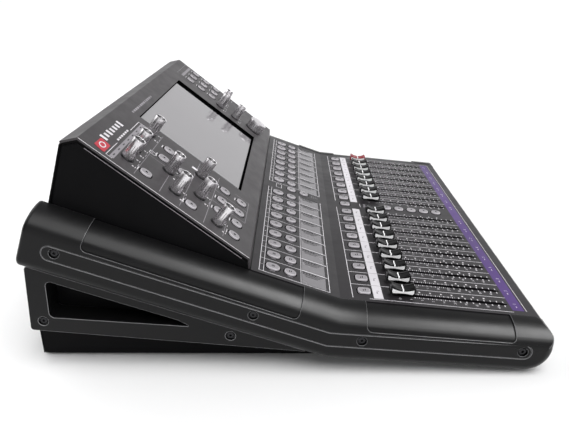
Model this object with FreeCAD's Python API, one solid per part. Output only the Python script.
import FreeCAD, Part
import math
import os

# Digital mixing console: a sloped control surface with sixteen channel faders and a master fader,
# a raised display hood at the rear, and a bent handrail cheek on each side.
# Frame: X to the operator's right, Y from the operator to the rear, Z up. Millimetres.
# The origin is on the desk, below the middle of the console.

# ---- driving dimensions ------------------------------------------------------------------------
PITCH = 25.5                 # channel to channel
LEFT_BLOCK = 9               # fader columns left of the centre column
RIGHT_BLOCK = 8              # fader columns right of it, the last one the master
FIRST_COLUMN_X = -219.2
RIGHT_BLOCK_X = 33.7
CENTRE_COLUMN_X = 10.8

BODY_HALF = 237.8            # half width of the sheet-metal body
CHEEK_INNER = 237.9
CHEEK_OUTER = 268.0
LEG_OUTER = 260.8
CHEEK_FRONT_Y = -242.0       # foremost point of the cheeks
FEET = 3.0                   # height of the rubber feet
SHEET = 1.5
PANEL = 2.0

FADER_SLOPE = 6.0
FADER_Y = -72.6              # the mute buttons' row on the fader plane
FADER_Z = 61.4
MID_SLOPE = 20.3
MID_Y = 14.9                 # the upper button row on the middle plane
MID_Z = 87.4
HOOD_SLOPE = 38.7
HOOD_Y = 34.6                # front top edge of the hood
HOOD_Z = 105.3
HOOD_LENGTH = 181.5
HOOD_REAR_Y = 191.7          # lower edge of the hood's rear chamfer
HOOD_REAR_Z = 215.7
REAR_SLOPE = -71.9
PANEL_FRONT_Y = -238.0
REAR_Y = 239.0

FADER_TRAVEL = 100.0
FADER_REST = 36.0            # cap centre at the top of its travel, in front of the mute row
CAP_LENGTH = 24.0
CAP_WIDTH = 11.0
CAP_TOP = 12.0
CAP_LOW = 3.0
CAP_DISH = 3.4               # depth of the cap's dished top
LEVER_WIDTH = 1.2
LEVER_LENGTH = 4.0
SLOT_WIDTH = 2.4

KNOB_RADIUS = 5.9
KNOB_HEIGHT = 20.6
JOG_RADIUS = 13.0
JOG_HEIGHT = 14.0
SHAFT_RADIUS = 3.0
RUNNING_FIT = 0.05

BUTTON_RISE = 1.6            # how far a button stands above its panel
BUTTON_ROOT = -3.6
BUTTON_GAP = 0.3
OVAL = (11.4, 13.8, 5.2)     # width, length and corner radius of a long oval button
SHORT_OVAL = (11.0, 11.6, 4.8)
MUTE = (10.6, 12.2, 3.0)

SCREEN_X = (-100.0, 131.0)
SCREEN_T = (24.5, 159.0)
SCREEN_RECESS = 2.4

V = FreeCAD.Vector
X_AXIS = V(1, 0, 0)
FAR = 400.0                  # longer than any part, for cutting tools


# ---- lines and outlines in the side view -------------------------------------------------------
def line(y, z, angle, shift=0.0):
    """A line in the YZ view through (y, z), moved sideways by shift to its left."""
    a = math.radians(angle)
    return (y - shift * math.sin(a), z + shift * math.cos(a), a)


def meet(a, b):
    """Where two lines cross."""
    det = math.cos(a[2]) * math.sin(b[2]) - math.sin(a[2]) * math.cos(b[2])
    t = ((b[0] - a[0]) * math.sin(b[2]) - (b[1] - a[1]) * math.cos(b[2])) / det
    return (a[0] + t * math.cos(a[2]), a[1] + t * math.sin(a[2]))


def fader_line(shift=0.0):
    return line(FADER_Y, FADER_Z, FADER_SLOPE, shift)


def mid_line(shift=0.0):
    return line(MID_Y, MID_Z, MID_SLOPE, shift)


def hood_line(shift=0.0):
    return line(HOOD_Y, HOOD_Z, HOOD_SLOPE, shift)


def rear_slant(shift=0.0):
    return line(HOOD_REAR_Y, HOOD_REAR_Z, REAR_SLOPE, shift)


def upright(y):
    return line(y, 0.0, -90.0)


def level(z):
    return line(0.0, z, 0.0)


def chamfer_line(shift=0.0):
    """The narrow facet that turns the hood's top edge down to the rear."""
    a = math.radians(HOOD_SLOPE)
    top_y = HOOD_Y + HOOD_LENGTH * math.cos(a)
    top_z = HOOD_Z + HOOD_LENGTH * math.sin(a)
    angle = math.degrees(math.atan2(HOOD_REAR_Z - top_z, HOOD_REAR_Y - top_y))
    return line(top_y, top_z, angle, shift)


def corners_of(lines):
    return [meet(lines[i - 1], lines[i]) for i in range(len(lines))]


def side_wire(corners, radii, x):
    """A closed wire in the plane at x; a corner with a radius is rounded by an arc."""
    points = [V(x, y, z) for y, z in corners]
    count = len(points)
    edges = []
    spans = []
    for i in range(count):
        here = points[i]
        back = (points[i - 1] - here).normalize()
        ahead = (points[(i + 1) % count] - here).normalize()
        radius = radii[i]
        if radius <= 0:
            spans.append((here, here, None))
            continue
        half = back.getAngle(ahead) / 2.0
        reach = radius / math.tan(half)
        bisector = (back + ahead).normalize()
        middle = here + bisector * (radius / math.sin(half) - radius)
        spans.append((here + back * reach, here + ahead * reach, middle))
    for i in range(count):
        start, end, middle = spans[i]
        if middle is not None:
            edges.append(Part.Arc(start, middle, end).toShape())
        following = spans[(i + 1) % count][0]
        edges.append(Part.LineSegment(end, following).toShape())
    return Part.Wire(edges)


def prism(corners, x0, x1, radii=None):
    """The outline in the side view, drawn out across the console from x0 to x1."""
    if radii is None:
        radii = [0.0] * len(corners)
    face = Part.Face(side_wire(corners, radii, x0))
    return face.extrude(V(x1 - x0, 0, 0))


def slab(lines, x0, x1, radii=None):
    return prism(corners_of(lines), x0, x1, radii)


def mirrored(shape):
    return shape.mirror(V(0, 0, 0), X_AXIS)


def both_sides(solids):
    return solids + [mirrored(s) for s in solids]


def group(solids):
    return Part.makeCompound(solids)


os.makedirs("parts", exist_ok=True)


def save(shape, node):
    shape.exportStep("parts/" + node + ".step")


# ---- planes that carry controls ----------------------------------------------------------------
def plane(y, z, angle):
    return FreeCAD.Placement(V(0, y, z), FreeCAD.Rotation(X_AXIS, angle))


FADER_PLANE = plane(FADER_Y, FADER_Z, FADER_SLOPE)
MID_PLANE = plane(MID_Y, MID_Z, MID_SLOPE)
HOOD_PLANE = plane(HOOD_Y, HOOD_Z, HOOD_SLOPE)
REAR_SLANT_PLANE = plane(HOOD_REAR_Y, HOOD_REAR_Z, REAR_SLOPE)
REAR_PLANE = plane(REAR_Y, 0.0, -90.0)


def on_plane(shape, placement):
    """Moves a shape drawn as (across, along the slope, out of the panel) onto its plane."""
    return shape.transformed(placement.toMatrix())


def pad(x, t, size, low, high, grow=0.0):
    """A rounded rectangular block in plane coordinates, centred on (x, t)."""
    width = size[0] + 2 * grow
    length = size[1] + 2 * grow
    radius = size[2] + grow
    box = Part.makeBox(width, length, high - low, V(x - width / 2, t - length / 2, low))
    if radius <= 0:
        return box
    return box.makeFillet(radius, [e for e in box.Edges if abs(e.tangentAt(0).z) > 0.9])


def rod(x, t, radius, low, high):
    return Part.makeCylinder(radius, high - low, V(x, t, low))


def columns():
    """X of every fader column, left to right."""
    left = [FIRST_COLUMN_X + PITCH * i for i in range(LEFT_BLOCK)]
    right = [RIGHT_BLOCK_X + PITCH * i for i in range(RIGHT_BLOCK)]
    return left + right


SELECT_T = 0.0
SOLO_T = -17.6
METER_T = -41.9
METER = (24.3, 24.6, 0.6)
STRIP_T = -13.0
STRIP_WIDTH = 9.4
LAYER_T = [-55.5 - 16.5 * i for i in range(5)]
BANK_T = -35.0

# Controls on the hood, as (x, distance up the slope from the hood's front edge).
HOOD_COLUMN = 27.6
HOOD_LEFT = [-215.4 + HOOD_COLUMN * i for i in range(4)]
KNOB_PLACES = [
    (HOOD_LEFT[0] + 5, 140.0), (HOOD_LEFT[1] + 7, 140.0), (HOOD_LEFT[3] + 9, 139.0),
    (HOOD_LEFT[1] + 9, 103.0), (HOOD_LEFT[0] + 5, 88.5), (HOOD_LEFT[3] - 5, 73.0),
    (HOOD_LEFT[1] + 3, 65.5), (HOOD_LEFT[0] + 1, 40.5),
    (155.5, 90.5), (186.0, 90.5), (154.5, 63.0)]
JOG_PLACE = (166.0, 29.0)
LEFT_KEYS = [
    (HOOD_LEFT[0], 119.0), (HOOD_LEFT[2], 113.5), (HOOD_LEFT[3], 113.5), (HOOD_LEFT[2], 90.0),
    (HOOD_LEFT[0], 70.0), (HOOD_LEFT[1], 42.4), (HOOD_LEFT[2], 42.4), (HOOD_LEFT[3], 42.4)]
LEFT_KEYS = LEFT_KEYS + [(x, 21.0) for x in HOOD_LEFT]
RIGHT_KEYS = [(171.5 + 27.0 * i, 147.0 - 19.5 * j) for j in range(3) for i in range(3)]


def mute_places():
    return [(x, 0.0) for x in columns()] + [(CENTRE_COLUMN_X, 0.0)]


def solo_places():
    return [(x, SOLO_T) for x in columns()] + [(CENTRE_COLUMN_X, SOLO_T)]


def strip_spans():
    """Where the two write-on strips lie across the console, as (centre, length)."""
    left_end = FIRST_COLUMN_X + PITCH * (LEFT_BLOCK - 1)
    right_end = RIGHT_BLOCK_X + PITCH * (RIGHT_BLOCK - 1)
    left = ((FIRST_COLUMN_X + left_end) / 2, left_end - FIRST_COLUMN_X + PITCH - 1.5)
    right = ((RIGHT_BLOCK_X + right_end) / 2, right_end - RIGHT_BLOCK_X + PITCH - 1.5)
    return [left, right]


# ---- sheet-metal body --------------------------------------------------------------------------
TUB_FRONT_Y = -235.7         # outer face of the tub's front wall
TUB_REAR_Y = REAR_Y - SHEET - 0.4
PANEL_NOSE = 3.5             # outer radius where the control panel folds down at its front
TUB_TOP = -2.4               # the tub's side walls stop this far below the control panel
CHEEK_SCREWS = [(199.2, 125.1), (31.0, 64.6), (-66.4, 37.6), (-212.1, 26.3)]
LEG_SCREWS = [(222.5, 53.6), (52.9, 38.2)]
SCREW_HOLE = 2.2


def side_holes(x0, x1, places, radius):
    tools = []
    for y, z in places:
        tools.append(Part.makeCylinder(radius, x1 - x0, V(x0, y, z), X_AXIS))
    return tools


def base_tub():
    """Folded floor, front wall and both side walls."""
    front = upright(TUB_FRONT_Y)
    inner_front = upright(TUB_FRONT_Y + SHEET)
    floor = slab([level(38.0), front, level(FEET), upright(TUB_REAR_Y), level(FEET + SHEET),
                  inner_front], -BODY_HALF + SHEET, BODY_HALF - SHEET)
    side = slab([level(FEET), upright(TUB_REAR_Y), rear_slant(-SHEET - 0.4), mid_line(TUB_TOP),
                 fader_line(TUB_TOP), front], BODY_HALF - SHEET, BODY_HALF,
                [0.0, 0.0, 0.0, 0.0, 0.0, PANEL_NOSE - PANEL])
    holes = side_holes(BODY_HALF - 5, BODY_HALF + 5, CHEEK_SCREWS + LEG_SCREWS, SCREW_HOLE)
    side = side.cut(holes)
    posts = [Part.makeCylinder(3.0, MAIN_BOARD_Z - FEET - SHEET, V(x, y, FEET + SHEET))
             for x in (-190.0, -60.0, 70.0) for y in (-110.0, 60.0)]
    return floor.fuse(both_sides([side]) + posts).removeSplitter()


def rear_panel():
    """One folded sheet: the slanted upper wall and the upright wall that carry the sockets."""
    upright_in = upright(REAR_Y - SHEET)
    sheet = slab([level(213.2), rear_slant(), upright(REAR_Y), level(FEET + 0.2), upright_in,
                  rear_slant(-SHEET)], -BODY_HALF, BODY_HALF)
    cuts = [on_plane(rod(x, t, XLR_HOLE, -5, 5), REAR_SLANT_PLANE) for x, t in INPUT_PLACES]
    cuts += [on_plane(rod(x, t, XLR_HOLE, -5, 5), REAR_PLANE) for x, t in OUTPUT_PLACES]
    cuts.append(on_plane(pad(IO_PLACE[0], IO_PLACE[1], IO_CUTOUT, -5, 5), REAR_PLANE))
    cuts.append(on_plane(pad(INLET_PLACE[0], INLET_PLACE[1], INLET_BODY, -5, 5, 0.3), REAR_PLANE))
    return sheet.cut(cuts)


def control_panel():
    """The folded plate with the fader plane, the middle plane and a front lip."""
    panel = slab([level(8.0), upright(PANEL_FRONT_Y), fader_line(), mid_line(),
                  upright(HOOD_Y - 0.4), mid_line(-PANEL), fader_line(-PANEL),
                  upright(PANEL_FRONT_Y + PANEL)], -BODY_HALF, BODY_HALF,
                 [0.0, 0.0, PANEL_NOSE, 0.0, 0.0, 0.0, 0.0, PANEL_NOSE - PANEL])
    slot_length = FADER_TRAVEL + LEVER_LENGTH + 3.0
    slot_t = -(FADER_REST + FADER_TRAVEL / 2)
    fader_cuts = [pad(x, slot_t, (SLOT_WIDTH, slot_length, 0.8), -5, 5) for x in columns()]
    fader_cuts += [pad(x, t, MUTE, -5, 5, BUTTON_GAP) for x, t in mute_places()]
    fader_cuts += [pad(CENTRE_COLUMN_X, t, SHORT_OVAL, -5, 5, BUTTON_GAP) for t in LAYER_T]
    for x, length in strip_spans():
        fader_cuts.append(pad(x, STRIP_T, (length, STRIP_WIDTH, 0), -1.0, 5))
    mid_cuts = [pad(x, SELECT_T, OVAL, -5, 5, BUTTON_GAP) for x in columns()]
    mid_cuts += [pad(x, t, SHORT_OVAL, -5, 5, BUTTON_GAP) for x, t in solo_places()]
    mid_cuts += [pad(x, METER_T, METER, -5, 5) for x in columns()]
    mid_cuts.append(pad(CENTRE_COLUMN_X, BANK_T, SHORT_OVAL, -5, 5, BUTTON_GAP))
    cuts = [on_plane(c, FADER_PLANE) for c in fader_cuts]
    cuts += [on_plane(c, MID_PLANE) for c in mid_cuts]
    return panel.cut(cuts).fuse(key_board_posts()).removeSplitter()


def screen_block(grow, low, high):
    x0, x1 = SCREEN_X
    t0, t1 = SCREEN_T
    size = (x1 - x0, t1 - t0, 0)
    return pad((x0 + x1) / 2, (t0 + t1) / 2, size, low, high, grow)


def hood_plate():
    """The hood's top plate: front lip, sloped face and rear chamfer."""
    plate = slab([level(MID_Z + 7.8), upright(HOOD_Y), hood_line(), chamfer_line(),
                  upright(HOOD_REAR_Y), chamfer_line(-PANEL), hood_line(-PANEL),
                  upright(HOOD_Y + PANEL)], -BODY_HALF, BODY_HALF)
    cuts = [rod(x, t, BUSH_RADIUS + 0.3, -5, 5) for x, t in KNOB_PLACES + [JOG_PLACE]]
    cuts += [pad(x, t, SHORT_OVAL, -5, 5, BUTTON_GAP) for x, t in LEFT_KEYS + RIGHT_KEYS]
    cuts.append(screen_block(0, -5, 5))
    plate = plate.cut([on_plane(c, HOOD_PLANE) for c in cuts])
    return plate.fuse(hood_board_posts()).removeSplitter()


def hood_side_panels():
    """The black side sheets, which stop short of the plate and the rear wall."""
    side = slab([mid_line(TUB_TOP + 0.4), rear_slant(-3.2), chamfer_line(-4.8), hood_line(-4.8),
                 upright(HOOD_Y + 2.2)], BODY_HALF - SHEET, BODY_HALF)
    return group(both_sides([side]))


def hood_frame():
    """The inner frame that the plate, the side sheets and the rear wall screw to."""
    outer = BODY_HALF - SHEET - 0.1
    lines = [mid_line(-14.0), rear_slant(-SHEET - 0.1), chamfer_line(-PANEL - 0.1),
             hood_line(-PANEL - 0.1), upright(HOOD_Y + 2.1)]
    sides = both_sides([slab(lines, outer - SHEET, outer)])
    strut = Part.makeBox(2 * (outer - SHEET), 22.0, SHEET, V(SHEET - outer, 148.0, 132.0))
    return strut.fuse(sides).removeSplitter()


# ---- cheeks and legs ---------------------------------------------------------------------------
CHEEK_BEND = (-34.6, 16.0)   # where the cheek's underside bends
CHEEK_UNDER_FRONT = 4.1      # slope of the underside in front of the bend
CHEEK_UNDER_REAR = 19.5
CHEEK_REAR = (234.7, 117.4)
CHEEK_ROUND_X = 240.0        # where the top starts to round down to the outer face
CHEEK_TOP_RADIUS = 36.0      # the rounding's wide inner arc
CHEEK_SIDE_RADIUS = 14.0     # the tighter arc that follows it
CHEEK_RIM_RADIUS = 10.0      # rounding of the outer face's other edges
CHEEK_END_RADIUS = 4.0
BUMPER_RISE = 0.8            # bumpers above the panel planes
INSERT_RISE = -0.8           # grip inserts just below them
RECESS_RISE = -2.2
GRIP_ZONES = [(MID_SLOPE, 0.0, 170.5, -14.5, 18.0), (FADER_SLOPE, -0.9, -72.0, -207.0, 14.5)]
BELT_FRONT = (-146.7, 23.9, 4.4)      # the belt's lower line: a point and its slope
BELT_REAR = (77.6, 72.7, 19.7)
BELT_WIDTH = 14.6
BELT_ENDS = (-220.0, 212.5)
GROOVE_WIDTH = 0.9
GROOVE_DEPTH = 0.6


def cheek_lines(rise, inset):
    """The bar's six sides, seen from the side, with all but the top moved in by inset."""
    return [line(CHEEK_BEND[0], CHEEK_BEND[1], CHEEK_UNDER_FRONT, inset),
            line(CHEEK_BEND[0], CHEEK_BEND[1], CHEEK_UNDER_REAR, inset),
            line(CHEEK_REAR[0], CHEEK_REAR[1], MID_SLOPE - 90, -inset),
            mid_line(rise),
            fader_line(rise),
            upright(CHEEK_FRONT_Y + inset)]


def beside_fold(rear):
    """A block on the rear or the front side of the fold between the two sloped tops."""
    fold = meet(mid_line(), fader_line())
    half = math.radians((MID_SLOPE + FADER_SLOPE) / 2 + 90)
    along = (FAR * math.cos(half), FAR * math.sin(half))
    side = FAR if rear else -FAR
    corners = [(fold[0] + along[0], fold[1] + along[1]), (fold[0] - along[0], fold[1] - along[1]),
               (fold[0] - along[0] + side, fold[1] - along[1]),
               (fold[0] + along[0] + side, fold[1] + along[1])]
    return prism(corners, CHEEK_INNER - 5, CHEEK_OUTER + 15)


def corner_tool(placement, rear, rise, depth):
    """What the two-arc rounding along one sloped top takes off the bar's outer corner."""
    wide = CHEEK_TOP_RADIUS - depth
    tight = CHEEK_SIDE_RADIUS - depth
    apart = CHEEK_TOP_RADIUS - CHEEK_SIDE_RADIUS
    swing = math.asin((CHEEK_OUTER - CHEEK_SIDE_RADIUS - CHEEK_ROUND_X) / apart)
    wide_z = rise - wide
    tight_x = CHEEK_ROUND_X + apart * math.sin(swing)
    tight_z = wide_z + apart * math.cos(swing)

    def on_arc(x, z, radius, turn):
        return V(x + radius * math.sin(turn), -FAR, z + radius * math.cos(turn))

    start = on_arc(CHEEK_ROUND_X, wide_z, wide, 0.0)
    joint = on_arc(CHEEK_ROUND_X, wide_z, wide, swing)
    end = on_arc(tight_x, tight_z, tight, math.pi / 2)
    over_x = end.x + 9.0
    over_z = start.z + 9.0
    points = [start, V(start.x, -FAR, over_z), V(over_x, -FAR, over_z), V(over_x, -FAR, end.z), end]
    edges = [Part.LineSegment(a, b).toShape() for a, b in zip(points, points[1:])]
    tight_mid = on_arc(tight_x, tight_z, tight, (swing + math.pi / 2) / 2)
    edges.append(Part.Arc(end, tight_mid, joint).toShape())
    edges.append(Part.Arc(joint, on_arc(CHEEK_ROUND_X, wide_z, wide, swing / 2), start).toShape())
    tool = Part.Face(Part.Wire(edges)).extrude(V(0, 2 * FAR, 0))
    return on_plane(tool, placement).common(beside_fold(rear))


def cheek_block(rise, outer_x, inset=0.0):
    """The bent bar with its top at rise above the panels and its other faces moved in by inset."""
    long_end = cheek_lines(rise, inset)
    long_end[2] = line(CHEEK_REAR[0] + 40.0, CHEEK_REAR[1], MID_SLOPE - 90, -inset)
    bar = slab(long_end, CHEEK_INNER, outer_x, [25.0 - inset, 8.0, 0.0, 0.0, 0.0, 12.0 - inset])
    depth = CHEEK_OUTER - outer_x
    rim = [e for e in bar.Edges if min(v.X for v in e.Vertexes) > outer_x - 0.01]
    bar = bar.makeFillet(CHEEK_RIM_RADIUS - depth, rim)
    bar = bar.cut([corner_tool(MID_PLANE, True, rise, depth),
                   corner_tool(FADER_PLANE, False, rise, depth)])
    end = cheek_lines(rise, inset)[2]
    beyond = slab([end, level(-FAR), upright(FAR), level(FAR)], CHEEK_INNER - 5, outer_x + 5)
    bar = bar.cut(beyond)
    end_edges = [e for e in bar.Edges if lies_on(e, end)
                 and max(v.X for v in e.Vertexes) > CHEEK_INNER + 0.1]
    return bar.makeFillet(CHEEK_END_RADIUS - inset, end_edges)


def lies_on(edge, side_line):
    """True for an edge whose ends lie in the plane that side_line stands for."""
    y, z, angle = side_line
    off = [(v.Y - y) * math.sin(angle) - (v.Z - z) * math.cos(angle) for v in edge.Vertexes]
    return max(abs(d) for d in off) < 0.01


def grip_zone(slope, lower_turn, rear_y, front_y, drop):
    """A tall block over one stretch of the cheek, square to the slope, above the grip's lower edge."""
    top = mid_line() if slope == MID_SLOPE else fader_line()
    rear = meet(top, upright(rear_y))
    front = meet(top, upright(front_y))
    square = slope - 90
    lower = line(rear[0], rear[1], slope + lower_turn, -drop)
    lines = [lower, line(rear[0], rear[1], square),
             line(top[0], top[1], slope, 20.0), line(front[0], front[1], square)]
    return slab(lines, CHEEK_INNER - 1, CHEEK_OUTER + 1, [5.0, 5.0, 0.0, 0.0])


def grip_zones():
    return [grip_zone(*zone) for zone in GRIP_ZONES]


def grip_inserts():
    bed = cheek_block(RECESS_RISE, CHEEK_OUTER - 3.0)
    skin = cheek_block(INSERT_RISE, CHEEK_OUTER - 1.6)
    pieces = [zone.common(skin).cut(bed) for zone in grip_zones()]
    solids = [s for p in pieces for s in p.Solids]
    return group(both_sides(solids))


def belt_area(shrink):
    """The rounded band round the cheek's screws, its edges moved in by shrink."""
    front = line(*BELT_FRONT, shrink)
    rear = line(*BELT_REAR, shrink)
    rear_top = line(*BELT_REAR, BELT_WIDTH - shrink)
    front_top = line(*BELT_FRONT, BELT_WIDTH - shrink)
    low_end = meet(front, upright(BELT_ENDS[0]))
    high_end = meet(rear, upright(BELT_ENDS[1]))
    front_side = line(low_end[0], low_end[1], BELT_FRONT[2] + 90, -shrink)
    rear_side = line(high_end[0], high_end[1], BELT_REAR[2] + 90, shrink)
    radius = BELT_WIDTH / 2 - shrink - 0.2
    return slab([front, rear, rear_side, rear_top, front_top, front_side],
                CHEEK_OUTER - GROOVE_DEPTH, CHEEK_OUTER + 1,
                [radius, 8.0, radius, radius, 8.0, radius])


def cheek():
    """The right-hand cheek: bent bar, grip recesses, belt groove, hollow back and screw bosses."""
    bed = cheek_block(RECESS_RISE, CHEEK_OUTER - 3.0)
    body = cheek_block(BUMPER_RISE, CHEEK_OUTER)
    body = body.cut([zone.cut(bed) for zone in grip_zones()])
    hollow = slab(cheek_lines(-6.0, 12.0), CHEEK_INNER, CHEEK_OUTER - 14.0,
                  [10.0, 8.0, 2.0, 2.0, 2.0, 2.0])
    bosses = side_holes(CHEEK_INNER, CHEEK_OUTER - 6.0, CHEEK_SCREWS, 6.5)
    body = body.cut(hollow.cut(bosses))
    body = body.cut(belt_area(0.0).cut(belt_area(GROOVE_WIDTH)))
    body = body.cut(side_holes(CHEEK_INNER - 1, CHEEK_OUTER + 1, CHEEK_SCREWS, SCREW_HOLE))
    return body.cut(side_holes(CHEEK_OUTER - 3.4, CHEEK_OUTER + 1, CHEEK_SCREWS, 4.6))


def leg():
    """The right-hand leg: a thick wedge under the cheek with a triangular window."""
    lines = [line(CHEEK_BEND[0], CHEEK_BEND[1], CHEEK_UNDER_REAR, -0.1), line(235.4, 44.4, 5.25),
             line(235.2, 46.3, 93.7)]
    outer = slab(lines, CHEEK_INNER, LEG_OUTER, [3.0, 0.0, 3.0])
    blunt = Part.makeBox(FAR, FAR, FAR, V(0, -FAR - 15.0, 0))
    window = prism([(214.5, 95.1), (216.1, 57.5), (89.0, 48.2), (100.0, 54.8)],
                   CHEEK_INNER - 1, LEG_OUTER + 1, [4.0, 5.0, 0.6, 2.0])
    body = outer.cut([window, blunt])
    body = body.cut(side_holes(CHEEK_INNER - 1, LEG_OUTER + 1, LEG_SCREWS, SCREW_HOLE))
    return body.cut(side_holes(LEG_OUTER - 3.4, LEG_OUTER + 1, LEG_SCREWS, 4.6))


def case_screw(y, z, seat_x):
    """A button-head screw with a hexagon socket, its head seated at seat_x."""
    head = Part.makeCylinder(3.8, 2.3, V(seat_x, y, z), X_AXIS)
    crown = [e for e in head.Edges if e.Vertexes[0].X > seat_x + 2]
    head = head.makeFillet(1.2, crown)
    shank = Part.makeCylinder(2.0, seat_x - BODY_HALF + 9.0, V(BODY_HALF - 9.0, y, z), X_AXIS)
    socket = hexagon(y, z, 1.45, seat_x + 0.9, seat_x + 3.0)
    return head.fuse(shank).cut(socket)


def hexagon(y, z, radius, x0, x1):
    ring = [math.radians(60 * i) for i in range(6)]
    corners = [(y + radius * math.cos(a), z + radius * math.sin(a)) for a in ring]
    return prism(corners, x0, x1)


def case_screws():
    solids = [case_screw(y, z, CHEEK_OUTER - 3.4) for y, z in CHEEK_SCREWS]
    solids += [case_screw(y, z, LEG_OUTER - 3.4) for y, z in LEG_SCREWS]
    return group(both_sides(solids))


def rubber_feet():
    """Four round feet under the floor's corners."""
    solids = []
    for x in (-226.0, 226.0):
        for y in (-205.0, 226.0):
            solids.append(Part.makeCone(7.4, 8.0, FEET, V(x, y, 0)))
    return group(solids)


# ---- display and printed strips ----------------------------------------------------------------
def touch_glass():
    glass = screen_block(4.0, -SCREEN_RECESS - 1.4, -SCREEN_RECESS)
    return on_plane(glass, HOOD_PLANE)


def display_module():
    module = screen_block(2.0, -SCREEN_RECESS - 8.5, -SCREEN_RECESS - 1.5)
    return on_plane(module, HOOD_PLANE)


def meter_windows():
    windows = [pad(x, METER_T, METER, -1.9, -0.15, -0.1) for x in columns()]
    return group([on_plane(w, MID_PLANE) for w in windows])


def scribble_strips():
    strips = []
    for x, length in strip_spans():
        strips.append(pad(x, STRIP_T, (length - 0.2, STRIP_WIDTH - 0.2, 0), -1.0, 0.05))
    return group([on_plane(s, FADER_PLANE) for s in strips])


# ---- faders ------------------------------------------------------------------------------------
LEVER_LOW = -10.0
POCKET_HIGH = 7.0


def fader(x):
    """A cap with a dished top on its flat metal lever, at the top of its travel."""
    t = -FADER_REST
    half = CAP_LENGTH / 2
    start = V(x - CAP_WIDTH / 2, t - half + 1.0, CAP_TOP)
    dish = V(x - CAP_WIDTH / 2, t, CAP_TOP - CAP_DISH)
    end = V(x - CAP_WIDTH / 2, t + half - 1.0, CAP_TOP)
    base_a = V(x - CAP_WIDTH / 2, t + half, CAP_LOW)
    base_b = V(x - CAP_WIDTH / 2, t - half, CAP_LOW)
    edges = [Part.Arc(start, dish, end).toShape(), Part.LineSegment(end, base_a).toShape(),
             Part.LineSegment(base_a, base_b).toShape(), Part.LineSegment(base_b, start).toShape()]
    cap = Part.Face(Part.Wire(edges)).extrude(V(CAP_WIDTH, 0, 0))
    cap = cap.cut(pad(x, t, (LEVER_WIDTH + 0.1, LEVER_LENGTH + 0.1, 0), 0, POCKET_HIGH))
    lever = pad(x, t, (LEVER_WIDTH, LEVER_LENGTH, 0), LEVER_LOW, POCKET_HIGH)
    return group([on_plane(cap, FADER_PLANE), on_plane(lever, FADER_PLANE)])


def fader_tracks():
    """The slide housings under the panel, each with a channel for its lever."""
    t = -(FADER_REST + FADER_TRAVEL / 2)
    solids = []
    for x in columns():
        housing = pad(x, t, (12.5, 128.0, 0), -13.0, -2.4)
        channel = pad(x, t, (3.2, FADER_TRAVEL + LEVER_LENGTH + 4.0, 0), -11.0, 0)
        solids.append(on_plane(housing.cut(channel), FADER_PLANE))
    return group(solids)


# ---- rotary controls ---------------------------------------------------------------------------
BUSH_RADIUS = 4.4
KNOB_LOW = 0.8
SHAFT_LOW = -6.5
SHAFT_HIGH = 11.5


def knob(x, t, radius, height):
    """A knob on its shaft; the shaft turns in the encoder's bush."""
    body = rod(x, t, radius, KNOB_LOW, KNOB_LOW + height)
    top_edge = [e for e in body.Edges if e.Vertexes[0].Z > height]
    body = body.makeFillet(0.8, top_edge)
    body = body.cut(rod(x, t, BUSH_RADIUS + 0.4, 0, 3.5))
    body = body.cut(rod(x, t, SHAFT_RADIUS + 0.02, 0, SHAFT_HIGH + 0.2))
    shaft = rod(x, t, SHAFT_RADIUS, SHAFT_LOW, SHAFT_HIGH)
    return group([on_plane(body, HOOD_PLANE), on_plane(shaft, HOOD_PLANE)])


def encoder_bodies():
    solids = []
    for x, t in KNOB_PLACES + [JOG_PLACE]:
        case = pad(x, t, (12.4, 13.2, 0), -9.5, -2.4)
        case = case.fuse(rod(x, t, BUSH_RADIUS, -3.0, 2.6))
        case = case.cut(rod(x, t, SHAFT_RADIUS + RUNNING_FIT, SHAFT_LOW - 0.5, 5.0))
        solids.append(on_plane(case, HOOD_PLANE))
    return group(solids)


# ---- push buttons ------------------------------------------------------------------------------
def buttons(places, size, placement):
    """Rubber keys of one pattern, each standing in its own hole."""
    solids = []
    for x, t in places:
        key = pad(x, t, size, BUTTON_ROOT, BUTTON_RISE)
        crown = [e for e in key.Edges if min(v.Z for v in e.Vertexes) > BUTTON_RISE - 0.01]
        solids.append(on_plane(key.makeFillet(0.7, crown), placement))
    return group(solids)


# ---- electronics -------------------------------------------------------------------------------
BOARD = 1.6
MAIN_BOARD_Z = 12.0
KEY_BOARD_DEPTH = 12.0       # board's lower face below the panel it serves
POST_RADIUS = 2.5


def circuit_boards():
    """The main board on the floor, the key board under the middle plane and the hood's key board."""
    main = Part.makeBox(280.0, 190.0, BOARD, V(-200.0, -120.0, MAIN_BOARD_Z))
    high = BOARD - KEY_BOARD_DEPTH
    keys = on_plane(pad(0, -20.0, (440.0, 62.0, 0), -KEY_BOARD_DEPTH, high), MID_PLANE)
    hood = on_plane(pad(-172.0, 82.0, (116.0, 140.0, 0), -KEY_BOARD_DEPTH, high), HOOD_PLANE)
    return group([main, keys, hood])


def key_board_posts():
    """Welded studs that carry the key board under the middle plane."""
    low = BOARD - KEY_BOARD_DEPTH
    return [on_plane(rod(x, -9.0, POST_RADIUS, low, -PANEL), MID_PLANE)
            for x in (-206.5, -3.0, 199.5)]


def hood_board_posts():
    low = BOARD - KEY_BOARD_DEPTH
    return [on_plane(rod(x, t, POST_RADIUS, low, -PANEL), HOOD_PLANE)
            for x in (-226.0, -119.0) for t in (56.0, 150.0)]


def power_supply():
    return Part.makeBox(110.0, 95.0, 38.0, V(105.0, 110.0, FEET + SHEET))


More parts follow.
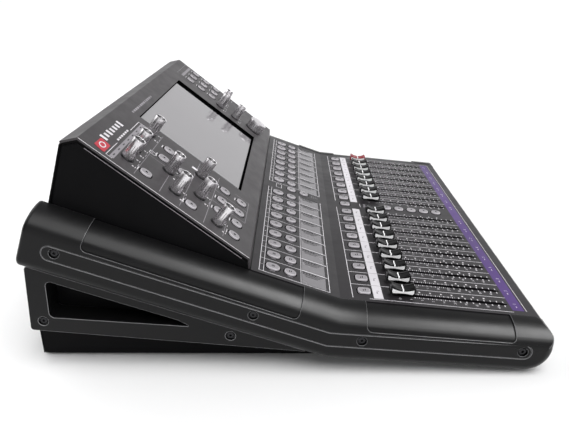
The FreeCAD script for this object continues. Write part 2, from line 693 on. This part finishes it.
# ---- rear sockets ------------------------------------------------------------------------------
XLR_HOLE = 12.0
XLR_FLANGE = (26.0, 30.0, 2.5)
INPUT_PLACES = [(-182.0 + 52.0 * i, 40.0 + 48.0 * j) for j in range(2) for i in range(8)]
OUTPUT_PLACES = [(-206.0 + 34.0 * i, -44.0) for i in range(8)]
DATA_PLACES = [(74.0, -58.0, (16.0, 13.6, 0.6)), (74.0, -30.0, (12.4, 11.4, 0.6))]
IO_PLACE = (86.0, -44.0)
IO_PLATE = (52.0, 50.0, 3.0)
IO_CUTOUT = (44.0, 44.4, 2.0)
JACK_RADIUS = 5.5
JACK_PLACES = [(100.0, -58.0), (100.0, -30.0)]
INLET_PLACE = (176.0, -44.0)
INLET_BODY = (58.0, 27.0, 2.0)
INLET_FLANGE = (70.0, 33.0, 4.0)
SWITCH_X = 194.0
PIN_RADIUS = 1.2
OUTWARD = 1.5


def xlr_pin_places():
    return [(-5.0, -1.5), (5.0, -1.5), (0.0, 5.0)]


def xlr_input(x, t):
    """A female three-pole socket: flange, barrel and three contact holes."""
    body = pad(x, t, XLR_FLANGE, 0.0, OUTWARD)
    body = body.fuse(rod(x, t, XLR_HOLE - 0.3, -20.0, OUTWARD))
    groove = rod(x, t, 10.4, 0.4, 5.0).cut(rod(x, t, 8.6, -1.0, 6.0))
    holes = [rod(x + a, t + b, 1.6, -12.0, 5.0) for a, b in xlr_pin_places()]
    return body.cut([groove] + holes)


def xlr_output(x, t):
    """A male three-pole socket: flange, cup and three pins."""
    body = pad(x, t, XLR_FLANGE, 0.0, OUTWARD)
    body = body.fuse(rod(x, t, XLR_HOLE - 0.3, -18.0, OUTWARD))
    body = body.cut(rod(x, t, 9.5, -13.0, 5.0))
    pins = [rod(x + a, t + b, PIN_RADIUS, -14.0, -1.0) for a, b in xlr_pin_places()]
    return body.fuse(pins)


def xlr_inputs():
    return group([on_plane(xlr_input(x, t), REAR_SLANT_PLANE) for x, t in INPUT_PLACES])


def xlr_outputs():
    return group([on_plane(xlr_output(x, t), REAR_PLANE) for x, t in OUTPUT_PLACES])


def data_sockets():
    """The data module: a plate with a network socket, a computer socket and two headphone jacks."""
    module = pad(IO_PLACE[0], IO_PLACE[1], IO_PLATE, 0.0, OUTWARD)
    for x, t, size in DATA_PLACES:
        module = module.fuse(pad(x, t, size, -16.0, OUTWARD))
    for x, t in JACK_PLACES:
        module = module.fuse(rod(x, t, JACK_RADIUS, -24.0, OUTWARD))
    hollows = [pad(x, t, (size[0] - 4.0, size[1] - 4.0, 0), -12.0, 5.0) for x, t, size in DATA_PLACES]
    hollows += [rod(x, t, 3.3, -22.0, 5.0) for x, t in JACK_PLACES]
    return on_plane(module.cut(hollows), REAR_PLANE)


def power_inlet():
    """The mains inlet module, with a well for the plug and a well for the rocker switch."""
    x, t = INLET_PLACE
    body = pad(x, t, INLET_FLANGE, 0.0, OUTWARD)
    body = body.fuse(pad(x, t, INLET_BODY, -24.0, OUTWARD))
    well_x = x - 10.0
    body = body.cut(pad(well_x, t, (25.0, 17.5, 2.0), -16.0, 5.0))
    body = body.cut(pad(SWITCH_X, t, (11.0, 19.0, 0.5), -12.0, 5.0))
    pins = [pad(well_x + a, t + b, (2.0, 4.0, 0), -18.0, -3.0) for a, b in INLET_PINS]
    return on_plane(body.fuse(pins), REAR_PLANE)


INLET_PINS = [(-7.0, 2.5), (7.0, 2.5), (0.0, -2.5)]
ROCKER_PIVOT = -5.0
ROCKER_TILT = 8.0


def power_switch():
    """The rocker, tipped to its off side about a pivot across the console."""
    t = INLET_PLACE[1]
    corners = [(-8.4, 3.0), (-8.4, 6.2), (0.0, 4.6), (8.4, 6.2), (8.4, 3.0), (3.0, -5.0), (-3.0, -5.0)]
    points = [V(-5.2, a, b) for a, b in corners]
    face = Part.Face(Part.makePolygon(points + [points[0]]))
    rocker = face.extrude(V(10.4, 0, 0))
    rocker.rotate(V(0, 0, 0), X_AXIS, ROCKER_TILT)
    rocker.translate(V(SWITCH_X, t, ROCKER_PIVOT))
    return on_plane(rocker, REAR_PLANE)


# ---- all nodes ---------------------------------------------------------------------------------
save(base_tub(), "base_tub")
save(rear_panel(), "rear_panel")
save(control_panel(), "control_panel")
save(hood_plate(), "hood_plate")
save(hood_side_panels(), "hood_side_panels")
save(hood_frame(), "hood_frame")
right_cheek = cheek()
save(right_cheek, "cheek_right")
save(mirrored(right_cheek), "cheek_left")
save(group(both_sides([leg()])), "legs")
save(grip_inserts(), "grip_inserts")
save(case_screws(), "case_screws")
save(rubber_feet(), "rubber_feet")
save(touch_glass(), "touch_glass")
save(display_module(), "display_module")
save(meter_windows(), "meter_windows")
save(scribble_strips(), "scribble_strips")
save(fader_tracks(), "fader_tracks")
save(encoder_bodies(), "encoder_bodies")
save(circuit_boards(), "circuit_boards")
save(power_supply(), "power_supply")
save(xlr_inputs(), "xlr_inputs")
save(xlr_outputs(), "xlr_outputs")
save(data_sockets(), "data_sockets")
save(power_inlet(), "power_inlet")
save(power_switch(), "power_switch")

for number, column_x in enumerate(columns()[:-1], start=1):
    save(fader(column_x), "fader_%02d" % number)
save(fader(columns()[-1]), "fader_master")
for number, (knob_x, knob_t) in enumerate(KNOB_PLACES, start=1):
    save(knob(knob_x, knob_t, KNOB_RADIUS, KNOB_HEIGHT), "knob_%02d" % number)
save(knob(JOG_PLACE[0], JOG_PLACE[1], JOG_RADIUS, JOG_HEIGHT), "jog_wheel")

save(buttons(mute_places(), MUTE, FADER_PLANE), "mute_buttons")
save(buttons([(x, SELECT_T) for x in columns()], OVAL, MID_PLANE), "select_buttons")
save(buttons(solo_places() + [(CENTRE_COLUMN_X, BANK_T)], SHORT_OVAL, MID_PLANE), "solo_buttons")
save(buttons([(CENTRE_COLUMN_X, t) for t in LAYER_T], SHORT_OVAL, FADER_PLANE), "layer_buttons")
save(buttons(LEFT_KEYS, SHORT_OVAL, HOOD_PLANE), "hood_keys_left")
save(buttons(RIGHT_KEYS, SHORT_OVAL, HOOD_PLANE), "hood_keys_right")
